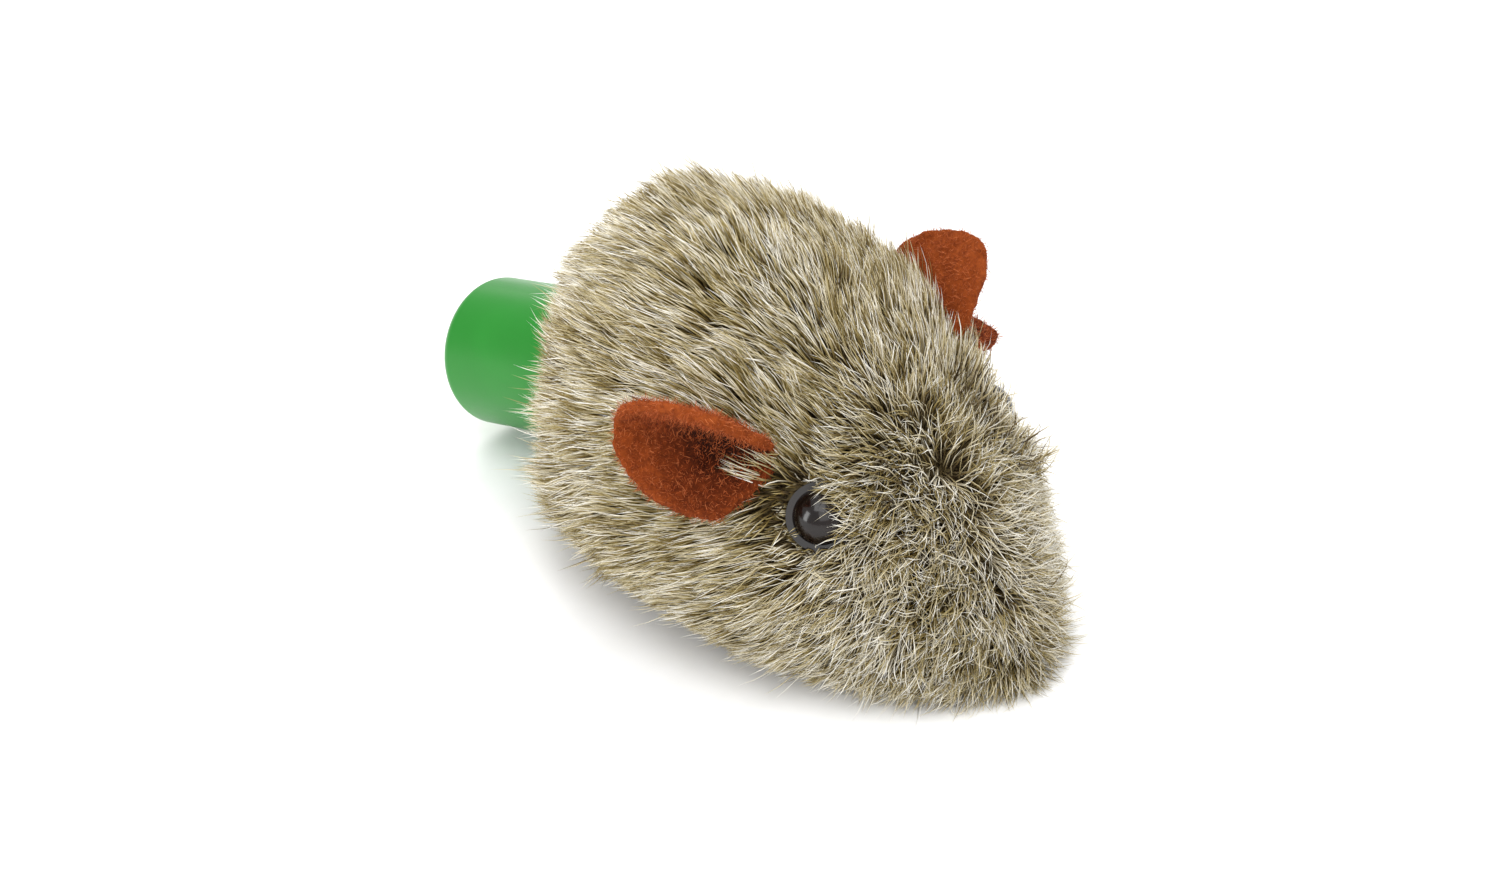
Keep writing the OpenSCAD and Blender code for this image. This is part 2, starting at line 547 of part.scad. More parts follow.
// ---- motor plates -----------------------------------------------------------------------------
pillar_d = 2.4;
top_pillar = arbor[2] + big_pr + 0.75*big_m + pillar_d/2 + 0.5;
rear_pillar = max(plate_x0 + 2.6, rear_boss[0] + (boss_d + pillar_d)/2 + 0.4);
pillar_pts = [[arbor[0] + 1, top_pillar], [plate_x1 - 2.4, base_top + 3.4],
    [rear_pillar, base_top + 3.4]];
rear_foot = max(plate_x0 + 2.6, rear_boss[0] + boss_d/2 + 2.5);
motor_pts = [for (s = [-1, 1], x = [rear_foot, plate_x1 - 2.6])
    [x, s*(plate_in - 2.2)]];
plate_low = base_top + 0.02;
plate_top = top_pillar + pillar_d/2 + 0.5;
module motor_plate(s) placed() color([0.74, 0.75, 0.77]) {
    difference() {
        translate([0, s > 0 ? plate_out : -plate_in, 0]) rotate([90, 0, 0])
            linear_extrude(plate_t) polygon([[plate_x0, plate_low], [plate_x1, plate_low],
                [plate_x1, arbor[2] + 4], [arbor[0] + 3.2, plate_top],
                [arbor[0] - 1.2, plate_top], [plate_x0, arbor[2] + 0.5], at_lug(-1.5, 2.5),
                at_lug(-1.5, -2.5), [plate_x0, lug_c[2] - 5.5]]);
        bar(arbor, -20, 20, arbor_d/2 + run);
        bar(axle, -20, 20, axle_d/2 + run);
        for (p = pillar_pts) bar([p[0], 0, p[1]], -20, 20, pillar_d/2 - 0.5);
        on_shaft(cup_t0 - 0.05) translate([-lug_w/2 - 0.05, -20, 0])
            cube([lug_w + 0.1, 40, lug_l + 0.1]);
    }
    // feet for the motor screws
    for (p = motor_pts) if (p[1]*s > 0) difference() {
        translate([p[0] - 2.2, s > 0 ? p[1] - 2.1 : -plate_in - e, plate_low])
            cube([4.4, plate_in - abs(p[1]) + 2.1 + e, 0.8]);
        translate([p[0], p[1], 0]) cylinder(r = screw_r, h = 20, $fn = 32);
    }
}
module motor_plate_left() motor_plate(1);
module motor_plate_right() motor_plate(-1);
module plate_pillars() placed() color([0.72, 0.72, 0.74]) for (p = pillar_pts) {
    bar([p[0], 0, p[1]], -plate_in, plate_in, pillar_d/2);
    bar([p[0], 0, p[1]], -plate_out - 0.4, plate_out + 0.4, pillar_d/2 - 0.5);
}

// ---- middle arbor -------------------------------------------------------------------------------
lay_y = crown_pd/2 - 0.5*crown_face;
module middle_arbor() placed() color([0.72, 0.72, 0.74])
    bar(arbor, -plate_out - 0.1, plate_out + 0.1, arbor_d/2);
module arbor_pinion() placed() color([0.78, 0.64, 0.32])
    spur(arbor, lay_y, crown_face, lay_n, crown_m, arbor_d/2, 180 + knob_tilt + 180/lay_n);
module arbor_wheel() placed() color([0.8, 0.66, 0.32]) {
    spur(arbor, -big_y - gear_w, gear_w, big_n, big_m, arbor_d/2, -90);
}

// ---- drive axle and wheels ------------------------------------------------------------------------
axle_end = wheel_y + wheel_w - 0.6;
module drive_axle() placed() color([0.72, 0.72, 0.74]) bar(axle, -axle_end, axle_end, axle_d/2);
module axle_pinion() placed() color([0.78, 0.64, 0.32])
    spur(axle, -plate_in + 0.15, plate_in - 0.15 - big_y + 0.3, drive_n, big_m, axle_d/2,
        90 + 180/drive_n);
module wheel(s) placed() color([0.12, 0.12, 0.13]) difference() {
    union() {
        bar(axle, s > 0 ? wheel_y : -wheel_y - wheel_w, s > 0 ? wheel_y + wheel_w : -wheel_y,
            wheel_d/2 - tyre_t);
        bar(axle, s > 0 ? wheel_y - 0.5 : -wheel_y - e, s > 0 ? wheel_y + e : -wheel_y + 0.5,
            axle_d/2 + 1.2);
    }
    bar(axle, -axle_end, axle_end, axle_d/2);
    // ring groove in the outer face
    translate([axle[0], s*(wheel_y + wheel_w + 1), axle[2]]) rotate([90*s, 0, 0])
        difference() {
            cylinder(r = wheel_d/2 - tyre_t - 1.2, h = 1.8, $fn = 64);
            translate([0, 0, -1]) cylinder(r = axle_d/2 + 1.8, h = 4, $fn = 48);
        }
}
module wheel_left() wheel(1);
module wheel_right() wheel(-1);
module tyre(s) placed() color([0.08, 0.08, 0.08]) difference() {
    bar(axle, s > 0 ? wheel_y : -wheel_y - wheel_w, s > 0 ? wheel_y + wheel_w : -wheel_y,
        wheel_d/2);
    bar(axle, -30, 30, wheel_d/2 - tyre_t);
}
module tyre_left() tyre(1);
module tyre_right() tyre(-1);

// ---- front roller ----------------------------------------------------------------------------------
roller_c = [roller_x, 0, roller_d/2];
module front_roller() placed() color([0.12, 0.12, 0.13]) difference() {
    union() {
        bar(roller_c, -roller_w/2, roller_w/2, roller_d/2);
        bar(roller_c, -roller_w/2 - 0.6, roller_w/2 + 0.6, pin_d/2 + 0.8);
    }
    bar(roller_c, -20, 20, pin_d/2 + run);
}
module roller_pin() placed() color([0.72, 0.72, 0.74])
    bar(roller_c, -roller_w/2 - 2.7, roller_w/2 + 2.7, pin_d/2);

// ---- screws -------------------------------------------------------------------------------------------
module screw(p, len, r) translate([p[0], p[1], base_z]) difference() {
    union() {
        translate([0, 0, 0.1]) cylinder(r = screw_head_r, h = 0.7, $fn = 40);
        translate([0, 0, 0.4]) cylinder(r = r, h = len, $fn = 32);
    }
    translate([-2.5, -0.2, 0]) cube([5, 0.4, 0.45]);
}
module motor_screws() placed() color([0.75, 0.75, 0.77])
    for (p = motor_pts) screw(p, base_t - 0.4 + 1.6, screw_r);
module shell_screws() placed() color([0.75, 0.75, 0.77])
    for (p = boss_pts) screw(p, base_t - 0.4 + 0.05 + screw_deep, screw_r - 0.05);

fur_cover();
upper_shell();
base_plate();
ear_left();
ear_right();
eye_left();
eye_right();
eye_washers();
winding_knob();
winding_shaft();
ratchet_wheel();
shaft_bush();
spring_cup();
cup_lid();
mainspring();
crown_wheel();
click_spring();
motor_plate_left();
motor_plate_right();
plate_pillars();
middle_arbor();
arbor_pinion();
arbor_wheel();
drive_axle();
axle_pinion();
wheel_left();
wheel_right();
tyre_left();
tyre_right();
front_roller();
roller_pin();
motor_screws();
shell_screws();
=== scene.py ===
# %% [markdown]
# # A wind-up plush mouse
# This lesson dresses a finished mechanical model of a clockwork mouse: a plastic shell with a
# motor inside, a plush cover over it, two felt ears, two glossy eyes and a green winding knob.
# The hard parts already exist as exact solids, so we load them and never move them. What we make
# here is what a solid can't show: hair, felt, light and finish. Lengths are in metres.

# %% Load the finished model
import json
import math

import bmesh
import bpy
import numpy as np
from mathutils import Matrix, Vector
from mathutils.bvhtree import BVHTree
from mathutils.kdtree import KDTree


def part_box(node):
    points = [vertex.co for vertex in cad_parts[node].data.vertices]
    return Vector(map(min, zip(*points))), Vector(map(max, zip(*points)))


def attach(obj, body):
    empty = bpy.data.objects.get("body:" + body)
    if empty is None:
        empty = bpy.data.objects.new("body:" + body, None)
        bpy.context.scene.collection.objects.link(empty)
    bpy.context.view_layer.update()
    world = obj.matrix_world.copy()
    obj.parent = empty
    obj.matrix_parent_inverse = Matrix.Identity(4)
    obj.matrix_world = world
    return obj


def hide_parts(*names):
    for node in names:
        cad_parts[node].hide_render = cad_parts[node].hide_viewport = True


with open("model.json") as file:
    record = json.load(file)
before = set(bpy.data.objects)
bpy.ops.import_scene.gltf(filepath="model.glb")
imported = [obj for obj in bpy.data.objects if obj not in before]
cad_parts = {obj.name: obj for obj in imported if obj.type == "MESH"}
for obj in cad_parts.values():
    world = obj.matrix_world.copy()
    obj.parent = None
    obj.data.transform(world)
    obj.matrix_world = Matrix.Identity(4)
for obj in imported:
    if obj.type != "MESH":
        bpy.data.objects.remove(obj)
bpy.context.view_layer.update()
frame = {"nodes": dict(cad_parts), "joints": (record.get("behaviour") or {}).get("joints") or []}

MM = 0.001
nodes = frame["nodes"]

# %% [markdown]
# ## Measuring the model
# The hair has to grow on the cover, keep clear of the knob and lie round the ears and eyes. All
# of that is measured on the loaded model, so the dressing still fits if the model is changed.

# %% Main sizes
cover_low, cover_high = (np.array(v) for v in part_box("fur_cover"))
body_height = cover_high[2]
nose_x, rump_x = cover_high[0], cover_low[0]
winding = next(j for j in frame["joints"] if j["name"] == "winding")
knob_point = np.array(winding["pos_m"])
knob_axis = np.array(winding["axis"])


def mesh_points(obj):
    """A mesh's points as rows of x, y, z."""
    found = np.empty(len(obj.data.vertices) * 3)
    obj.data.vertices.foreach_get("co", found)
    return found.reshape(-1, 3)


def from_axis(p):
    """How far points lie from the winding axis, and the direction away from it."""
    off = p - knob_point
    off = off - (off @ knob_axis)[..., None] * knob_axis
    far = np.linalg.norm(off, axis=-1)
    return far, off / np.maximum(far, 1e-9)[..., None]


knob_mesh = mesh_points(nodes["winding_knob"])
knob_radius = float(from_axis(knob_mesh)[0].max())
knob_front = float(((knob_mesh - knob_point) @ knob_axis).max())


def beside_knob(p, gap):
    """True for points inside the knob's own cylinder made wider by a gap."""
    return (from_axis(p)[0] < knob_radius + gap) & ((p - knob_point) @ knob_axis < knob_front + gap)


print(f"body {body_height / MM:.1f} mm high, knob {2 * knob_radius / MM:.1f} mm across")

# %% [markdown]
# ## The studio
# A small toy on a white table. The table is one big curved sheet, so no horizon shows. The light
# is a bright, even surround with one large soft lamp above the mouse's left shoulder. It gives
# the soft streak along the top of the knob and a gentle shadow under the chin. Colours are shown
# plainly, with no film curve, so that white stays white.

# %% Table, surround and lamps
scene = bpy.context.scene
scene.view_settings.view_transform = "Standard"
scene.view_settings.look = "None"


def studio_table():
    width, front, back, bend = 3.0, -1.6, 1.9, 0.5
    profile = [(front, 0.0), (back, 0.0)]
    for k in range(1, 13):
        turn = math.pi / 2 * k / 12
        profile.append((back + bend * math.sin(turn), bend * (1 - math.cos(turn))))
    profile.append((back + bend, 2.2))
    bm = bmesh.new()
    rows = [
        [bm.verts.new((x, y, z)) for y, z in profile] for x in (-width, width)
    ]
    for a, b, c, d in zip(rows[1], rows[1][1:], rows[0][1:], rows[0]):
        bm.faces.new((a, b, c, d)).smooth = True
    mesh = bpy.data.meshes.new("table")
    bm.to_mesh(mesh)
    bm.free()
    table = bpy.data.objects.new("table", mesh)
    scene.collection.objects.link(table)
    return table


def soft_lamp(name, place, aim, size, watts, colour=(1, 1, 1)):
    lamp = bpy.data.lights.new(name, "AREA")
    lamp.shape, lamp.size, lamp.size_y = "RECTANGLE", *size
    lamp.energy, lamp.color = watts, colour
    obj = bpy.data.objects.new(name, lamp)
    obj.location = place
    obj.rotation_euler = (Vector(aim) - Vector(place)).to_track_quat("-Z", "Y").to_euler()
    scene.collection.objects.link(obj)
    return obj


table = studio_table()
soft_lamp("big softbox", (-0.50, 0.55, 0.70), (0, 0, 0.02), (0.8, 0.8), 7.0, (1, 0.98, 0.95))
soft_lamp("eye softbox", (-0.29, -0.75, 0.27), (0.03, 0, 0.03), (0.26, 0.5), 2.6)
soft_lamp("top softbox", (0.15, -0.25, 0.95), (0, 0, 0.02), (0.7, 0.7), 4.6)
soft_lamp("front softbox", (0.62, -0.42, 0.55), (0, 0, 0.02), (0.6, 0.6), 1.7)
world = bpy.data.worlds.new("surround")
world.use_nodes = True
world.node_tree.nodes["Background"].inputs["Color"].default_value = (0.98, 0.99, 1, 1)
world.node_tree.nodes["Background"].inputs["Strength"].default_value = 0.76
scene.world = world

# %% [markdown]
# ## The camera
# A portrait lens from the mouse's front right, looking down at about 34 degrees. The mouse sits
# a little right of the middle of the picture, which a small lens shift does without turning the
# camera.

# %% Camera
turn, lift, away = math.radians(41.6), math.radians(33.8), 0.506
target = Vector((nose_x - 0.045034, 0.0, 0.015))
toward = Vector(
    (math.sin(turn) * math.cos(lift), -math.cos(turn) * math.cos(lift), math.sin(lift))
)
lens = bpy.data.cameras.new("portrait lens")
lens.lens, lens.sensor_width = 85, 36
lens.shift_x, lens.shift_y = -0.0303, 0.0267
lens.clip_start, lens.clip_end = 0.02, 20
camera = bpy.data.objects.new("camera", lens)
camera.location = target + toward * away
camera.rotation_euler = (-toward).to_track_quat("-Z", "Y").to_euler()
scene.collection.objects.link(camera)
scene.camera = camera
print("camera at", [round(v, 3) for v in camera.location])

# %% [markdown]
# ## Shader maths as arithmetic
# A material is a small network of nodes. Written out node by node it is hard to read, so a tiny
# class wraps a node's output and gives it the usual signs: `1 - wear * 0.5` adds two Math nodes.
# Everything else goes through one method, `node`, which sets a node's own settings first and then
# the values or links of its sockets.


# %% A value that can be calculated with
class Value:
    def __init__(self, look, socket):
        self.look, self.socket = look, socket

    def _maths(self, operation, a, b, clamp=False):
        settings = {"operation": operation, "use_clamp": clamp}
        return self.look.node("Math", settings, {0: a, 1: b})

    def __add__(self, other):
        return self._maths("ADD", self, other)

    def __sub__(self, other):
        return self._maths("SUBTRACT", self, other)

    def __rsub__(self, other):
        return self._maths("SUBTRACT", other, self)

    def __mul__(self, other):
        return self._maths("MULTIPLY", self, other)

    def __pow__(self, other):
        return self._maths("POWER", self, other)

    __radd__, __rmul__ = __add__, __mul__

    def limited(self):
        return self._maths("ADD", self, 0.0, clamp=True)


# %% A material being made
class Look:
    """One finish. Its last step is shine(), which fills in the surface shader."""

    def __init__(self, name):
        self.made = bpy.data.materials.new(name)
        self.made.use_nodes = True
        self.tree = self.made.node_tree
        self.tree.nodes.clear()

    def node(self, kind, settings=None, sockets=None, out=0):
        made = self.tree.nodes.new("ShaderNode" + kind)
        for key, value in (settings or {}).items():
            if key == "stops":
                self.fill_ramp(made.color_ramp, value)
            else:
                setattr(made, key, value)
        for key, value in (sockets or {}).items():
            if isinstance(value, Value):
                self.tree.links.new(value.socket, made.inputs[key])
            else:
                made.inputs[key].default_value = value
        return None if out is None else Value(self, made.outputs[out])

    @staticmethod
    def fill_ramp(ramp, stops):
        while len(ramp.elements) < len(stops):
            ramp.elements.new(0.5)
        for element, (place, shade) in zip(ramp.elements, stops):
            element.position = place
            element.color = shade

    def place(self):
        return self.node("TexCoord", out="Object")

    def noise(self, size, detail=3.0, rough=0.55, stretch=None, twist=0.0):
        """Soft noise from 0 to 1 with features about this many millimetres across."""
        where = self.place()
        if stretch:
            where = self.node("VectorMath", {"operation": "MULTIPLY"}, {0: where, 1: stretch})
        settings = {"noise_dimensions": "3D"}
        sockets = {"Vector": where, "Scale": 1000.0 / size, "Detail": detail,
                   "Roughness": rough, "Distortion": twist}
        return self.node("TexNoise", settings, sockets, out="Fac")

    def ramp(self, value, *stops):
        """Colours along a value. Each stop is (place, colour)."""
        return self.node("ValToRGB", {"stops": stops}, {"Fac": value}, out="Color")

    def mix(self, share, a, b):
        return self.node("Mix", {"data_type": "RGBA"}, {0: share, 6: a, 7: b}, out=2)

    def bump(self, height, depth, strength=1.0):
        sockets = {"Height": height, "Distance": depth * MM, "Strength": strength}
        return self.node("Bump", None, sockets)

    def shine(self, sockets):
        surface = self.node("BsdfPrincipled", None, sockets)
        self.node("OutputMaterial", None, {"Surface": surface}, out=None)
        return self.made


# %% [markdown]
# Colours are written as people see them on a screen, 0 to 255, and turned into the linear light
# that Blender calculates with.


# %% Colours
def screen(r, g, b):
    """A screen colour, 0 to 255, as linear light."""
    parts = [c / 255 for c in (r, g, b)]
    return tuple(
        c / 12.92 if c <= 0.04045 else ((c + 0.055) / 1.055) ** 2.4 for c in parts
    ) + (1.0,)


# %% [markdown]
# ## Table top
# Matt white paper. It is given the faintest unevenness so that it isn't a flat number.

# %% Paper finish
paper = Look("white paper")
fleck = paper.noise(6.0, 4)
table.data.materials.append(
    paper.shine(
        {
            "Base Color": paper.ramp(fleck, (0.3, screen(246, 246, 245)), (0.7, screen(249, 249, 249))),
            "Roughness": 0.9,
            "Specular IOR Level": 0.1,
        }
    )
)

# %% [markdown]
# ## Moulded plastic
# The knob is injection moulded in a satin green. Real mouldings are never quite even: the
# colour swims a little where the plastic flowed, the skin has a very fine grain, and handling
# leaves faint scuffs that change the gloss more than the colour. The black and dark grey pieces
# underneath are the same recipe in other colours.


# %% Plastic finish
def plastic(name, dark, light, gloss, grain=0.012):
    look = Look(name)
    flow = look.noise(14.0, 2, twist=0.6)
    scuffs = look.noise(2.2, 6, 0.7, stretch=(1.0, 3.0, 1.0))
    skin = look.noise(0.22, 2)
    rough = gloss + (scuffs - 0.5) * 0.16 + (flow - 0.5) * 0.05
    return look.shine(
        {
            "Base Color": look.mix((flow * 1.6 - 0.3).limited(), dark, light),
            "Roughness": rough.limited(),
            "Normal": look.bump(skin, grain),
            "Coat Weight": 0.03,
            "Specular IOR Level": 0.34,
            "Coat Roughness": 0.3,
            "IOR": 1.49,
        }
    )


green_plastic = plastic("satin green plastic", screen(20, 116, 26), screen(26, 125, 32), 0.34)
shell_plastic = plastic("dark grey plastic", screen(44, 44, 47), screen(54, 54, 57), 0.42)
base_plastic = plastic("black plastic", screen(30, 30, 32), screen(40, 40, 42), 0.5, 0.03)
wheel_plastic = plastic("black wheel plastic", screen(24, 24, 26), screen(34, 34, 36), 0.38)

# %% [markdown]
# ## Metals
# Inside the shell there are four metals: bright steel for shafts, tinned sheet for the cup and
# plates, blued spring steel and yellow brass for the gears. What tells them apart is colour,
# and how the surface was worked: rolled sheet has long fine streaks, turned parts have tight
# rings, and brass darkens in patches.


# %% Metal finish
def metal(name, dark, light, gloss, streak, worn=0.0):
    look = Look(name)
    lines = look.noise(0.5, 3, stretch=streak)
    patches = look.noise(5.0, 4)
    tarnish = ((patches - 0.55 + worn) * 4.0).limited()
    return look.shine(
        {
            "Base Color": look.mix(tarnish * 0.7, light, dark),
            "Metallic": 1.0,
            "Roughness": (gloss + (lines - 0.5) * 0.22 + tarnish * 0.12).limited(),
            "Normal": look.bump(lines, 0.006),
        }
    )


steel = metal("turned steel", screen(150, 150, 155), screen(196, 197, 200), 0.26, (0.4, 6, 6))
tinplate = metal("tinned sheet", screen(158, 160, 160), screen(205, 207, 208), 0.3, (5, 1, 0.3), 0.05)
blued = metal("blued spring steel", screen(38, 46, 66), screen(70, 82, 110), 0.24, (1, 6, 6))
brass = metal("yellow brass", screen(148, 112, 52), screen(208, 172, 92), 0.28, (6, 0.6, 6), 0.08)

# %% [markdown]
# ## Rubber
# The tyres are moulded rubber: nearly black, matt, dusty where they touch the floor.

# %% Rubber finish
rubber_look = Look("tyre rubber")
dust = rubber_look.noise(1.6, 5, 0.65)
rubber = rubber_look.shine(
    {
        "Base Color": rubber_look.ramp(dust, (0.35, screen(24, 23, 22)), (0.8, screen(58, 55, 50))),
        "Roughness": (0.68 + dust * 0.25).limited(),
        "Normal": rubber_look.bump(rubber_look.noise(0.3, 3), 0.02),
        "Specular IOR Level": 0.35,
    }
)

# %% [markdown]
# ## Giving the hard parts their finish
# Each part names the body it belongs to already. Only its material slot is filled here.

# %% Dress the hard parts
finishes = {
    green_plastic: ["winding_knob"],
    shell_plastic: ["upper_shell"],
    base_plastic: ["base_plate"],
    wheel_plastic: ["wheel_left", "wheel_right", "front_roller"],
    rubber: ["tyre_left", "tyre_right"],
    steel: ["winding_shaft", "ratchet_wheel", "plate_pillars", "middle_arbor", "drive_axle",
            "roller_pin", "motor_screws", "shell_screws", "eye_washers", "click_spring"],
    tinplate: ["spring_cup", "cup_lid", "motor_plate_left", "motor_plate_right"],
    blued: ["mainspring"],
    brass: ["crown_wheel", "arbor_pinion", "arbor_wheel", "axle_pinion", "shaft_bush"],
}


def wear(name, finish):
    obj = nodes[name]
    if not obj.material_slots:
        obj.data.materials.append(finish)
    for held in obj.material_slots:
        held.material = finish


for finish, names in finishes.items():
    for name in names:
        wear(name, finish)
print("hard parts dressed:", sum(len(n) for n in finishes.values()))

# %% [markdown]
# ## Eyes
# Plastic safety eyes: a dark brown dome so glossy that it mirrors the lamps, on a thin flange.
# A clear coat over a nearly black body gives that depth. The dome itself is the exact solid.

# %% Eye finish
eye_look = Look("glossy brown eye")
depth = eye_look.noise(3.5, 2)
eye_finish = eye_look.shine(
    {
        "Base Color": eye_look.ramp(depth, (0.3, screen(13, 8, 6)), (0.75, screen(27, 16, 12))),
        "Roughness": (0.12 + eye_look.noise(1.2, 5, 0.7) * 0.07).limited(),
        "Coat Weight": 0.1,
        "Coat Roughness": 0.08,
        "Specular IOR Level": 0.4,
        "IOR": 1.48,
    }
)
for name in ("eye_left", "eye_right"):
    wear(name, eye_finish)

# %% [markdown]
# ## Finding the cloth under the hair
# The cover is plush: hair woven into a backing cloth. The model gives its whole thickness, from
# the cloth inside to the tips outside, as one closed wall. The faces that look at the middle of
# the body are the cloth side and the ones that look away are the tips. Rays cast through the
# wall tell how thick it is at each place: full over most of the body, thin where the hair is
# pressed flat under the ears.


# %% Read the cover's wall
def triangles_of(obj):
    mesh = obj.data
    mesh.calc_loop_triangles()
    corner = np.empty(len(mesh.loop_triangles) * 3, np.int32)
    mesh.loop_triangles.foreach_get("vertices", corner)
    return mesh_points(obj)[corner.reshape(-1, 3)]


def tree_of(obj):
    return BVHTree.FromPolygons(
        mesh_points(obj).tolist(), [list(p.vertices) for p in obj.data.polygons]
    )


wall = triangles_of(nodes["fur_cover"])
wall_tree = tree_of(nodes["fur_cover"])
middle = wall.mean(axis=1)
cross = np.cross(wall[:, 1] - wall[:, 0], wall[:, 2] - wall[:, 0])
area = np.linalg.norm(cross, axis=1) / 2
facing = cross / np.maximum(2 * area, 1e-15)[:, None]
spine = np.stack(
    [
        np.clip(middle[:, 0], rump_x + 0.30 * body_height, nose_x - 0.32 * body_height),
        np.zeros(len(middle)),
        np.full(len(middle), 0.35 * body_height),
    ],
    axis=1,
)
outward = np.einsum("ij,ij->i", facing, middle - spine) > 0
in_bore = beside_knob(middle, 1.2 * MM)
print("wall triangles:", len(wall), "outside:", int(outward.sum()))

# %% [markdown]
# ## Backing cloth
# The cloth is the wall's inner side, turned to face out and made 0.8 mm thick. Nobody sees more
# than glimpses of it, deep between the hairs. Its dark colour, near that of the roots, is partly
# the cloth's own and partly painted shade, so that the gaps between the hairs read as shadowed
# deep fur. It is a knitted ground, and it is stretched over the shell like a sock.

# %% Cloth from the inner side of the wall
def eye_frame(side):
    """The eye's seat and the direction it looks in."""
    p = mesh_points(nodes["eye_" + side])
    guess = unit(p.mean(axis=0) - [p[:, 0].mean() - 0.02, 0, 0.3 * body_height])
    for _ in range(3):
        reach = p @ guess
        top = p[reach > reach.max() - 0.1 * MM].mean(axis=0)
        foot = p[reach < reach.min() + 0.1 * MM].mean(axis=0)
        guess = unit(top - foot)
    return top, guess


def unit(v):
    return v / np.maximum(np.linalg.norm(v, axis=-1), 1e-12)[..., None]


in_socket = np.zeros(len(middle), bool)
for s in ("left", "right"):
    top, looks = eye_frame(s)
    off = middle - top
    ring = np.linalg.norm(off - (off @ looks)[:, None] * looks, axis=1)
    in_socket |= (ring < 5.6 * MM) & (np.abs(facing @ looks) < 0.3) & (np.abs(off @ looks) < 9 * MM)
is_cloth = ~outward & (area > 1e-10) & ~in_bore & ~in_socket & (np.abs(facing[:, 2] + 1) > 0.02)
inner = wall[is_cloth]
print("triangles of the eye sockets left out:", int((in_socket & ~outward).sum()))


def cloth_piece(name, corners, thick):
    bm = bmesh.new()
    for a, b, c in corners[:, ::-1]:
        bm.faces.new([bm.verts.new(p) for p in (a, b, c)])
    bmesh.ops.remove_doubles(bm, verts=bm.verts, dist=0.00002)
    loose = [f for f in bm.faces if f.calc_area() < 1e-10]
    bmesh.ops.delete(bm, geom=loose, context="FACES")
    bmesh.ops.recalc_face_normals(bm, faces=bm.faces)
    for f in bm.faces:
        f.smooth = True
    mesh = bpy.data.meshes.new(name)
    bm.to_mesh(mesh)
    bm.free()
    obj = bpy.data.objects.new(name, mesh)
    scene.collection.objects.link(obj)
    step = obj.modifiers.new("thickness", "SOLIDIFY")
    step.thickness, step.offset, step.use_even_offset = thick, 1.0, False
    return obj


cloth = cloth_piece("backing_cloth", inner, 0.8 * MM)

# %% Knitted ground
knit_look = Look("knitted backing")
knit = knit_look.noise(0.9, 3)
cloth.data.materials.append(
    knit_look.shine(
        {
            # Dark cloth colour: partly the cloth's own, partly painted shade for the deep gaps between the hairs.
            "Base Color": knit_look.ramp(knit, (0.3, screen(78, 66, 42)), (0.7, screen(112, 98, 68))),
            "Roughness": 0.95,
            "Specular IOR Level": 0.1,
            "Normal": knit_look.bump(knit, 0.1),
        }
    )
)

# %% [markdown]
# ## Where the hairs grow
# Hairs are sown evenly over the outside of the cover and then moved down through the wall to the
# cloth, so that the tips end up even. Random places come from one fixed seed, so every run grows
# the same coat.

# %% Sow the roots
rng = np.random.default_rng(7)
HAIRS = 56000
sown = outward & (facing[:, 2] > -0.86) & ~in_bore
share = area * sown
pick = rng.choice(len(wall), size=HAIRS, p=share / share.sum())
a, b = rng.random((2, HAIRS, 1))
flip = (a + b) > 1
a, b = np.where(flip, 1 - a, a), np.where(flip, 1 - b, b)
tips = wall[pick, 0] + a * (wall[pick, 1] - wall[pick, 0]) + b * (wall[pick, 2] - wall[pick, 0])
normal = facing[pick]

roots, thick = np.empty_like(tips), np.empty(HAIRS)
for i in range(HAIRS):
    start = tips[i] - normal[i] * 0.00005
    _, _, _, depth_here = wall_tree.ray_cast(Vector(start), Vector(-normal[i]), 0.012)
    thick[i] = depth_here or 0.0
    roots[i] = start - normal[i] * (thick[i] - 0.0007)
grows = (thick > 0.0012) & (thick < 0.0075)
tips, normal, roots, thick = (v[grows] for v in (tips, normal, roots, thick))
print("hairs growing:", len(roots), "wall", np.round(np.percentile(thick, [5, 50, 95]) / MM, 2))

# %% [markdown]
# Flat facets would show as steps in the coat, so each hair takes the average direction of its
# neighbours.

# %% Smooth the directions
finder = KDTree(len(roots))
for i, p in enumerate(roots):
    finder.insert(p, i)
finder.balance()
coarse = rng.choice(len(roots), 2600, replace=False)
guide = KDTree(len(coarse))
smooth = np.empty((len(coarse), 3))
for k, i in enumerate(coarse):
    near = [j for _, j, _ in finder.find_n(roots[i], 60)]
    smooth[k] = normal[near].mean(axis=0)
    guide.insert(roots[i], k)
guide.balance()
nearest = np.array([[k for _, k, _ in guide.find_n(p, 3)] for p in roots])
normal = smooth[nearest].mean(axis=1)
normal /= np.linalg.norm(normal, axis=1)[:, None]

# %% [markdown]
# ## Which way the hair lies
# Plush is combed. On this mouse it runs from the nose to the tail, drooping a little on the
# flanks. At the snout it stands up and bursts outward from a crease that runs down the middle of
# the face. So two directions are mixed: "to the tail", and "away from the crease", the second
# only near the nose. Slow waves turn the comb a little here and there, as hands do.


# %% Combing
def ease(x, low, high):
    """0 below low, 1 above high, smooth between."""
    t = np.clip((x - low) / (high - low), 0, 1)
    return t * t * (3 - 2 * t)


def waves(p, size, seed, count=7):
    """Smooth noise from about -1 to 1 with this wavelength."""
    r = np.random.default_rng(seed)
    total = np.zeros(len(p))
    for _ in range(count):
        way = unit(r.normal(size=3)) * 2 * np.pi / (size * r.uniform(0.7, 1.5))
        total += np.sin(p @ way + r.uniform(0, 6.3))
    return total / math.sqrt(count)


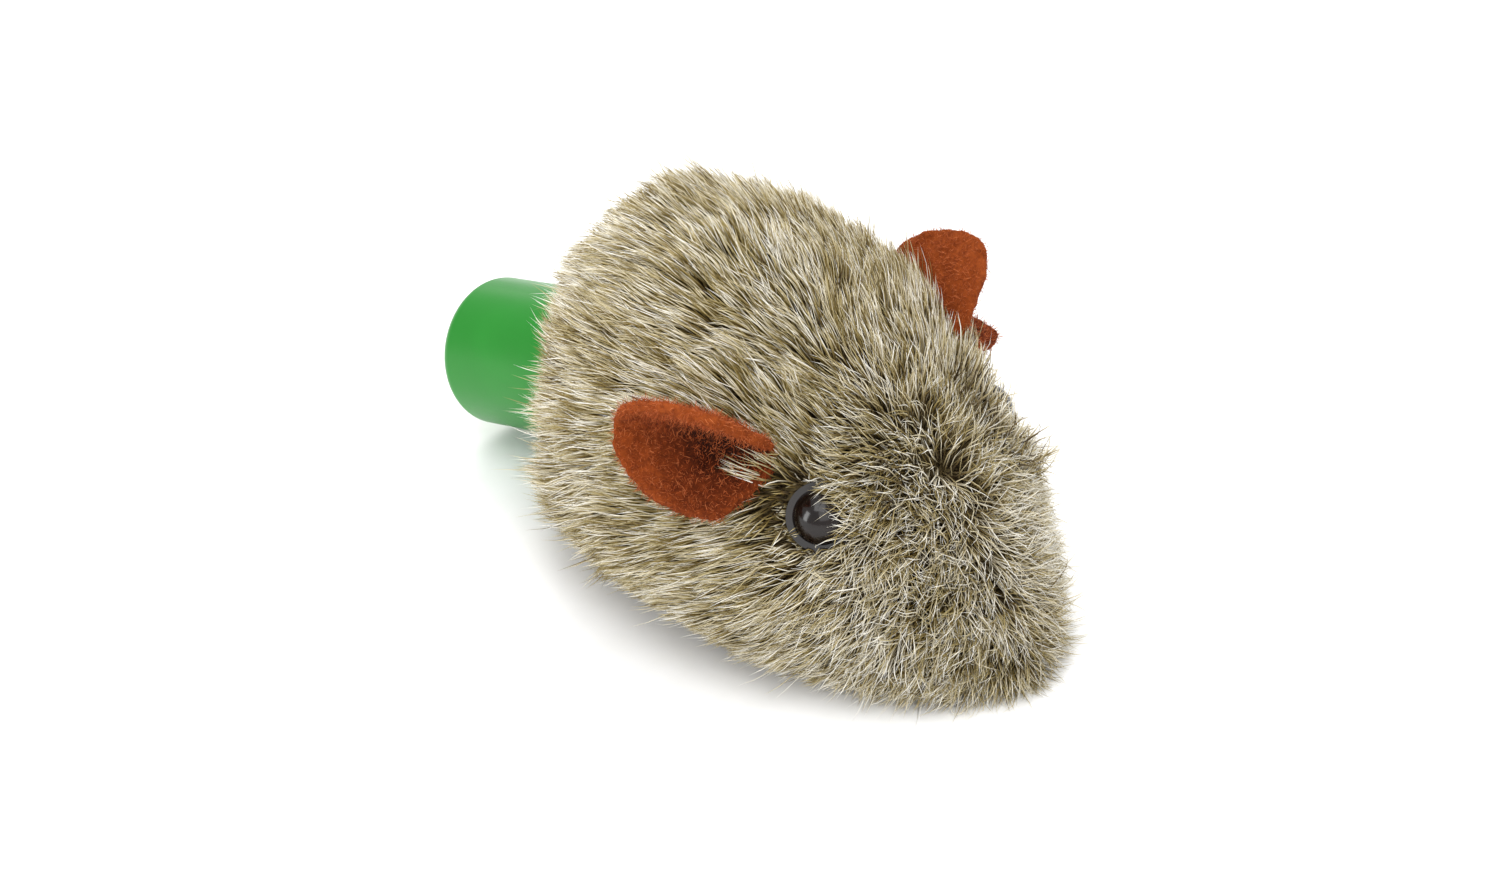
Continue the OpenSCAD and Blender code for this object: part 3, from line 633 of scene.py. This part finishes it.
crease = np.array([[nose_x - 8.6 * MM, 0, 0.31 * body_height], [nose_x - 3.2 * MM, 0, 0.08 * body_height]])
along_crease = crease[1] - crease[0]
t = np.clip((roots - crease[0]) @ along_crease / (along_crease @ along_crease), 0, 1)
from_crease = roots - (crease[0] + t[:, None] * along_crease)
crease_gap = np.linalg.norm(from_crease, axis=1)
face = 1 - ease(crease_gap, 12 * MM, 34 * MM)
low_down = 1 - ease(roots[:, 2], 0.25 * body_height, 0.75 * body_height)

to_tail = np.tile([-1.0, 0, 0], (len(roots), 1))
to_tail[:, 2] = -0.12 - 0.34 * low_down
parted = np.stack(
    [np.full(len(roots), -0.45), 1.05 * np.tanh(roots[:, 1] / (6 * MM)), -0.1 - 0.75 * low_down], axis=1
)
comb = unit(unit(to_tail) * (1 - face)[:, None] + unit(parted) * face[:, None] * 1.2)
side = unit(np.cross(normal, comb))
sway = 0.22 * waves(roots, 17 * MM, 3) + 0.14 * waves(roots, 6 * MM, 5)
sway += face * 0.55 * waves(roots, 4.5 * MM, 8)
comb = unit(comb + side * sway[:, None])
flat = unit(comb - normal * np.einsum("ij,ij->i", comb, normal)[:, None])
comb = unit(flat + 0.35 * comb)

# %% [markdown]
# ## Tufts
# Hairs cling together in small tufts with dark gaps between them. Each hair belongs to the
# nearest of a few thousand tuft centres, and its tip is drawn part of the way to that tuft's own
# tip. Without this the coat looks like felt.

# %% Shape of every hair
STATIONS = 5
n = len(roots)
stations = np.linspace(0, 1, STATIONS)
length = (8.8 + 0.9 * waves(roots, 9 * MM, 21) + 1.0 * rng.normal(size=n)) * MM
length *= 1 - 0.16 * face
length *= np.clip(thick / (4.4 * MM), 0.32, 1.0)
guard = rng.random(n) < 0.05 + 0.04 * face
length = np.where(guard, length * 1.28, length)
rise_root = np.radians(52 + 6 * rng.normal(size=n))
rise_tip = np.radians(16 + 10 * face + (8 + 9 * face) * rng.normal(size=n) + 10 * guard)
yaw = np.radians((10 + 26 * face) * rng.normal(size=n))
side = unit(np.cross(normal, comb))
lying = comb * np.cos(yaw)[:, None] + side * np.sin(yaw)[:, None]
start_way = lying * np.cos(rise_root)[:, None] + normal * np.sin(rise_root)[:, None]
end_way = lying * np.cos(rise_tip)[:, None] + normal * np.sin(rise_tip)[:, None]


def bend_hairs(root, first, last, size):
    s = stations[None, :, None]
    reach = size[:, None, None]
    return root[:, None] + reach * (first[:, None] * (s - s * s / 2) + last[:, None] * s * s / 2)


hair = bend_hairs(roots, start_way, end_way, length)
curl = rng.normal(size=(n, 2)) * (0.32 + 0.75 * face)[:, None] * MM
bow = np.sin(np.pi * stations)[None, :, None]
hair += bow * (side * curl[:, :1] + normal * curl[:, 1:] * 0.6)[:, None]

TUFTS = 5200
centres = rng.choice(n, TUFTS, replace=False)
tuft_finder = KDTree(TUFTS)
for k, i in enumerate(centres):
    tuft_finder.insert(roots[i], k)
tuft_finder.balance()
tuft = np.array([centres[tuft_finder.find(p)[1]] for p in roots])
hold = (0.34 + 0.3 * rng.random(n)) * (1 - 0.35 * face) * np.where(guard, 0.3, 1.0)
pull = hold[:, None] * stations[None] ** 1.5
hair += pull[..., None] * (hair[tuft] - hair)
print("tufts:", TUFTS, "mean length", round(float(length.mean() / MM), 2), "mm")

# %% [markdown]
# ## Felt ears
# The ears are cut from thick rust-coloured craft felt and pinched into cups. The solid has the
# right shape but hard edges. Felt has soft, slightly ragged ones, so the ear is turned into a
# fine even mesh, relaxed, and its surface pushed in and out by a few hundredths of a millimetre.


# %% [markdown]
# The felt is pinched at the root, which draws the ear into a deep pocket with its upper edge
# standing out over it. The solid shows the cup only roughly, so the floor of the pocket is pressed
# down into the pile and the rim is raised, by smooth amounts that fade out at the root and tip.
# The pocket also gets a painted shade: its colour is darkened most near the root and under the
# upper rim, where it lies in shadow.


# %% Deepen the cup and paint shade in its pocket
def cup_fold(p, out, side):
    root = p[p[:, 0].argmax()]
    along = unit(p[np.linalg.norm(p - root, axis=1).argmax()] - root)
    away = unit(np.cross(along, [0, 0, 1.0]))
    away = away * np.sign(away[1] * side)
    upward = np.cross(away, along)
    upward = upward * np.sign(upward[2])
    a, b = (p - root) @ along, (p - root) @ upward
    u = a / a.max()
    bins = np.linspace(0, 1, 13)
    low = np.array([b[(u >= k - 0.06) & (u <= k + 0.06)].min() for k in bins])
    high = np.array([b[(u >= k - 0.06) & (u <= k + 0.06)].max() for k in bins])
    low, high = np.interp(u, bins, low), np.interp(u, bins, high)
    across = 2 * (b - low) / np.maximum(high - low, 1e-6) - 1
    belly = np.sin(np.pi * np.clip(u * 0.92 + 0.06, 0, 1)) ** 0.7
    sink = np.exp(-(((across - 0.12) / 0.5) ** 2)) * belly
    top = ease(across, 0.45, 1.0) * belly
    bottom = ease(-across, 0.5, 1.0) * belly
    push = -2.5 * sink + 1.9 * top + 0.9 * bottom + 0.8 * ease(u, 0.8, 1.0) - 2.2 * (1 - ease(u, 0.0, 0.22))
    way = unit(0.8 * away + 0.45 * upward)
    looks_out = ease(out @ away, -0.1, 0.5)
    near_root = 1 - ease(u, 0.15, 0.8)
    under_rim = ease(across, -0.9, 0.45)
    # Painted shade: the pocket's colour is darkened most near the root and under the upper rim, where it lies in
    # shadow.
    dark = np.clip((0.35 + 0.9 * near_root) * (0.3 + 0.9 * under_rim) * belly, 0, 1.2)
    return way * (push * MM)[:, None], dark * looks_out * (1 - ease(across, 0.42, 0.62))


# %% Soften an ear
def soft_ear(name):
    source = nodes[name]
    obj = bpy.data.objects.new("felt_" + name, source.data.copy())
    scene.collection.objects.link(obj)
    step = obj.modifiers.new("even mesh", "REMESH")
    step.mode, step.voxel_size = "VOXEL", 0.42 * MM
    step = obj.modifiers.new("relax", "SMOOTH")
    step.factor, step.iterations = 0.5, 4
    step = obj.modifiers.new("finer", "SUBSURF")
    step.levels = step.render_levels = 1
    graph = bpy.context.evaluated_depsgraph_get()
    obj.data = bpy.data.meshes.new_from_object(obj.evaluated_get(graph))
    obj.modifiers.clear()
    p = mesh_points(obj)
    out = np.empty(len(p) * 3)
    obj.data.vertex_normals.foreach_get("vector", out)
    out = out.reshape(-1, 3)
    lump = 0.10 * waves(p, 2.6 * MM, 41) + 0.07 * waves(p, 1.1 * MM, 43)
    # inside is the pocket's painted shade, kept with the ear to darken its colour.
    fold, inside = cup_fold(p, out, -1 if "right" in name else 1)
    p += fold + out * (lump * MM)[:, None]
    obj.data.vertices.foreach_set("co", p.ravel())
    kept = obj.data.attributes.new("hollow", "FLOAT", "POINT")
    kept.data.foreach_set("value", inside.astype(np.float32))
    obj.data.polygons.foreach_set("use_smooth", np.ones(len(obj.data.polygons), bool))
    obj.data.materials.clear()
    obj.data.update()
    return obj


# %% [markdown]
# Felt is a mat of fibres in many shades of one dye. Two scales of noise mottle it, a fine one
# raises the fibres, and the fuzz is real: short curved fibres stand all over it. Inside the cup
# the pocket's painted shade darkens the colour further.

# %% Felt finish
felt_look = Look("rust felt")
mottle = felt_look.noise(1.3, 5, 0.7, twist=0.8)
fibre = felt_look.noise(0.28, 4, 0.7, twist=2.5)
# The pocket's painted shade darkens the felt colour inside the cup.
hollow = felt_look.node("Attribute", {"attribute_name": "hollow"}, out="Fac")
blend = (mottle * 0.6 + fibre * 0.55 - 0.11 - hollow * 0.5).limited()
felt = felt_look.shine(
    {
        "Base Color": felt_look.ramp(
            blend,
            (0.02, screen(44, 16, 6)),
            (0.26, screen(98, 40, 14)),
            (0.5, screen(150, 70, 28)),
            (0.75, screen(186, 98, 48)),
        ),
        "Roughness": 0.95,
        "Specular IOR Level": 0.1,
        "Normal": felt_look.bump(fibre * 0.7 + mottle * 0.3, 0.22),
    }
)
# %% Form both ears
felt_ears, ear_tree = {}, {}
for s in ("left", "right"):
    felt_ears[s] = soft_ear("ear_" + s)
    felt_ears[s].data.materials.append(felt)
    ear_tree[s] = tree_of(felt_ears[s])
    print(felt_ears[s].name, len(felt_ears[s].data.polygons), "faces")

# %% [markdown]
# ## Keeping hairs out of things
# Hair can't run through the knob, an eye, an ear or the table. Round the knob it is pushed out to
# lie along it. At the table it spreads sideways. At an eye a hair is pushed up to lie on the
# dome. Hairs that grow ahead of an ear lie over its root, and those beside or under it end where
# they would go in, as they do on the real thing where they are trapped by the felt.

# %% Round the knob and on the table
far, away_dir = from_axis(hair)
clear = knob_radius + 0.45 * MM + 0.25 * MM * rng.random((n, 1))
near_knob = (far < clear) & ((hair - knob_point) @ knob_axis < knob_front + 2 * MM)
hair += np.where(near_knob, clear - far, 0.0)[..., None] * away_dir
floor_gap = 0.25 * MM + 0.5 * MM * rng.random((n, 1))
under = np.clip(floor_gap - hair[..., 2], 0, None)
hair[..., 2] += under
spread = unit(np.stack([normal[:, 0], normal[:, 1], np.zeros(n)], axis=1))
hair += under[..., None] * 0.8 * spread[:, None]

# %% Off the eyes and the ears
eye_tree = {s: tree_of(nodes["eye_" + s]) for s in ("left", "right")}


def near_box(name, margin):
    low, high = (np.array(v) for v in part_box(name))
    inside = (hair > low - margin) & (hair < high + margin)
    return np.nonzero(inside.all(axis=2).any(axis=1))[0]


def lift_off(i, tree, gap):
    for k in range(1, STATIONS):
        where, way, _, dist = tree.find_nearest(Vector(hair[i, k]))
        inside = (Vector(hair[i, k]) - where).dot(way) < 0
        if inside or dist < gap:
            hair[i, k] = np.array(where + way * gap)


def cut_at(i, tree):
    """Shortens hair i to end before it first meets the tree's surface."""
    gone = 0.0
    total = np.linalg.norm(np.diff(hair[i], axis=0), axis=1).sum()
    for k in range(STATIONS - 1):
        p, q = Vector(hair[i, k]), Vector(hair[i, k + 1])
        span = (q - p).length
        hit = tree.ray_cast(p, (q - p).normalized(), span + 0.0003)
        if hit[0] is not None:
            keep = max(0.12, (gone + hit[3] - 0.0004) / total)
            at = stations * keep
            hair[i] = np.stack([np.interp(at, stations, hair[i, :, d]) for d in range(3)], 1)
            return True
        gone += span
    return False


cut, lifted = 0, 0
for s in ("left", "right"):
    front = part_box("ear_" + s)[1][0] - 2.4 * MM
    for i in near_box("ear_" + s, 0.003):
        if roots[i, 0] > front:
            lift_off(i, ear_tree[s], 0.0001 + 0.0004 * rng.random())
        else:
            cut += cut_at(i, ear_tree[s])
    for i in near_box("eye_" + s, 0.001):
        lift_off(i, eye_tree[s], 0.00012 + 0.0003 * rng.random())
        lifted += 1
print("hairs cut at the ears:", cut, "checked at the eyes:", lifted)

# %% [markdown]
# ## Colour of the hair
# The coat mixes hairs of several shades, from olive brown to cream, each darker at its root. The
# shade is drawn for each hair once and kept with how far along the hair a point is. The material
# reads just those two numbers, so one small map can hold every colour the coat can have.

# %% Draw a shade for each hair
SHADES = 40
patch = 0.5 + 0.07 * waves(roots, 22 * MM, 31) + 0.10 * waves(roots, 5 * MM, 33)
# The face term lightens the hair on the head and snout: painted light, standing in for the light that falls on the face
# from the front.
shade = patch - 0.1 + 0.16 * face + 0.44 * rng.normal(size=n)
shade = np.where(guard, shade + 0.3, shade)
shade = 0.8 * shade + 0.2 * shade[tuft]
shade = np.clip(np.round(shade * SHADES) / SHADES, 0, 1 - 1 / SHADES) + 0.5 / SHADES
print("shades in use:", len(np.unique(shade)))

# %% Hair finish
hair_look = Look("plush hair")
kept = hair_look.node("Attribute", {"attribute_name": "strand"}, out="Vector")
tone = hair_look.node("SeparateXYZ", None, {0: kept}, out="X")
along = Value(hair_look, tone.socket.node.outputs["Y"])
root_shade = hair_look.ramp(
    tone, (0.0, screen(38, 26, 10)), (0.5, screen(66, 50, 24)), (1.0, screen(118, 102, 68))
)
mid_shade = hair_look.ramp(
    tone,
    (0.0, screen(88, 68, 26)),
    (0.35, screen(138, 116, 54)),
    (0.65, screen(182, 164, 112)),
    (1.0, screen(232, 224, 202)),
)
tip_shade = hair_look.ramp(
    tone,
    (0.0, screen(128, 108, 50)),
    (0.3, screen(188, 172, 120)),
    (0.6, screen(230, 220, 192)),
    (1.0, screen(250, 248, 242)),
)
lower = hair_look.mix((along * 2.1 - 0.4).limited(), root_shade, mid_shade)
plush = hair_look.shine(
    {
        "Base Color": hair_look.mix((along * 2.2 - 1.0).limited(), lower, tip_shade),
        "Roughness": 0.55,
        "Specular IOR Level": 0.3,
    }
)

# %% [markdown]
# ## Making the hairs
# Each hair is a real closed spike: four small triangular rings and a point. It is a mesh and not
# a curve or a particle system, so that it exists for every tool that reads the model. All hairs
# share one pattern of faces, so numpy writes the whole coat at once.


# %% Hairs as one mesh
def spikes(name, lines, wide, turn_to, tone_of, finish, body):
    """A mesh of closed three-sided spikes along the lines, wide at each station."""
    count, stops = lines.shape[:2]
    way = unit(np.gradient(lines, axis=1))
    across = unit(np.cross(way, turn_to[:, None]))
    over = np.cross(way, across)
    rings = lines[:, :-1, None] + wide[:, :-1, None, None] * np.stack(
        [across * math.cos(v) + over * math.sin(v) for v in np.radians([90, 210, 330])], axis=2
    )[:, :-1]
    points = np.concatenate([rings.reshape(count, -1, 3), lines[:, -1:]], axis=1)
    per = points.shape[1]
    faces, uv_u, uv_v = [], [], []
    at = np.linspace(0.03, 0.97, stops)
    for k in range(stops - 2):
        for j in range(3):
            p, q = 3 * k + j, 3 * k + (j + 1) % 3
            faces.append([p, q, q + 3, p + 3])
            uv_u.append([0, 1, 1, 0])
            uv_v.append([at[k], at[k], at[k + 1], at[k + 1]])
    for j in range(3):
        p, q = per - 4 + j, per - 4 + (j + 1) % 3
        faces.append([p, q, per - 1])
        uv_u.append([0, 1, 0.5])
        uv_v.append([at[-2], at[-2], at[-1]])
    faces.append([2, 1, 0])
    uv_u.append([0, 1, 0.5])
    uv_v.append([0.01, 0.01, 0.03])
    sizes = np.array([len(f) for f in faces])
    flat_faces = np.concatenate(faces)
    corners = (np.arange(count)[:, None] * per + flat_faces).ravel()
    mesh = bpy.data.meshes.new(name)
    mesh.vertices.add(count * per)
    mesh.vertices.foreach_set("co", points.ravel())
    mesh.loops.add(len(corners))
    mesh.loops.foreach_set("vertex_index", corners.astype(np.int32))
    starts = np.concatenate([[0], np.cumsum(np.tile(sizes, count))[:-1]])
    mesh.polygons.add(len(starts))
    mesh.polygons.foreach_set("loop_start", starts.astype(np.int32))
    mesh.polygons.foreach_set("use_smooth", np.ones(len(starts), bool))
    mesh.update(calc_edges=True)
    strand = np.zeros((count, per, 3), np.float32)
    strand[..., 0] = tone_of[:, None]
    strand[..., 1] = np.append(np.repeat(stations[:-1] if stops == STATIONS else np.linspace(0, 1, stops)[:-1], 3), 1.0)
    mesh.attributes.new("strand", "FLOAT_VECTOR", "POINT").data.foreach_set("vector", strand.ravel())
    u = tone_of[:, None] + (np.concatenate(uv_u) - 0.5)[None] * 0.7 / SHADES
    v = np.tile(np.concatenate(uv_v), (count, 1))
    mesh.uv_layers.new(name="OFBake")
    mesh.uv_layers["OFBake"].uv.foreach_set("vector", np.stack([u, v], axis=-1).astype(np.float32).ravel())
    mesh.materials.append(finish)
    obj = bpy.data.objects.new(name, mesh)
    scene.collection.objects.link(obj)
    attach(obj, body)
    return obj


# %% [markdown]
# The coat is split into regions, so that no piece is too heavy to handle.

# %% Grow the coat
taper = np.array([0.85, 1.0, 0.92, 0.62, 0.0])
radius = (0.095 + 0.016 * rng.normal(size=n)) * MM * np.where(guard, 0.8, 1.0)
width = np.clip(radius, 0.06 * MM, None)[:, None] * taper
x_share = (roots[:, 0] - rump_x) / (nose_x - rump_x)
is_left = roots[:, 1] > 0
cuts = {"rump": (-1, 0.22), "back": (0.22, 0.42), "shoulder": (0.42, 0.62), "head": (0.62, 2)}
zones = {}
for part, (start, stop) in cuts.items():
    here = (x_share >= start) & (x_share < stop)
    zones["fur_" + part + "_left"] = here & is_left
    zones["fur_" + part + "_right"] = here & ~is_left
for name, zone in zones.items():
    piece = spikes(name, hair[zone], width[zone], normal[zone], shade[zone], plush, "chassis")
    print(name, int(zone.sum()), "hairs")

# %% Put the cloth in place
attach(cloth, "chassis")
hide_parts("fur_cover")

# %% [markdown]
# ## Fuzz on the ears
# Felt's outline is never clean. A few thousand short, thin fibres in every shade of the dye stand
# out of it in all directions.

# %% Fuzz finish
fuzz_look = Look("felt fuzz")
fuzz_kept = fuzz_look.node("Attribute", {"attribute_name": "strand"}, out="Vector")
fuzz_tone = fuzz_look.node("SeparateXYZ", None, {0: fuzz_kept}, out="X")
fuzz_finish = fuzz_look.shine(
    {
        "Base Color": fuzz_look.ramp(
            fuzz_tone, (0.0, screen(128, 58, 26)), (0.5, screen(178, 88, 46)), (1.0, screen(214, 124, 76))
        ),
        "Roughness": 0.9,
        "Specular IOR Level": 0.15,
    }
)


# %% Fuzz on the felt
def fuzz_on(obj, name, count, seed):
    r = np.random.default_rng(seed)
    tri = triangles_of(obj)
    nrm = np.cross(tri[:, 1] - tri[:, 0], tri[:, 2] - tri[:, 0])
    size = np.linalg.norm(nrm, axis=1)
    which = r.choice(len(tri), count, p=size / size.sum())
    weights = r.dirichlet((1, 1, 1), count)
    root = np.einsum("ij,ijk->ik", weights, tri[which])
    up = unit(nrm[which])
    lean = unit(r.normal(size=(count, 3)))
    long = r.uniform(0.7, 1.7, count) * MM
    first = unit(up + 0.9 * lean)
    last = unit(0.25 * up + unit(r.normal(size=(count, 3))))
    lines = bend_hairs(root - up * 0.1 * MM, first, last, long)
    thin = r.uniform(0.022, 0.042, (count, 1)) * MM * taper
    tone_of = (np.floor(r.random(count) * SHADES) + 0.5) / SHADES
    piece = spikes(name, lines, thin, up, tone_of, fuzz_finish, "chassis")
    return piece


# %% Finish both ears
for seed, s in enumerate(("left", "right")):
    ear = felt_ears[s]
    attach(ear, "chassis")
    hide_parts("ear_" + s)
    fuzz = fuzz_on(ear, "felt_fuzz_" + s, 5200, 60 + seed)
    ear_tri = triangles_of(ear)
    skin = np.linalg.norm(
        np.cross(ear_tri[:, 1] - ear_tri[:, 0], ear_tri[:, 2] - ear_tri[:, 0]), axis=1
    ).sum() / 2
    print(ear.name, "surface", round(skin * 1e6), "square mm")
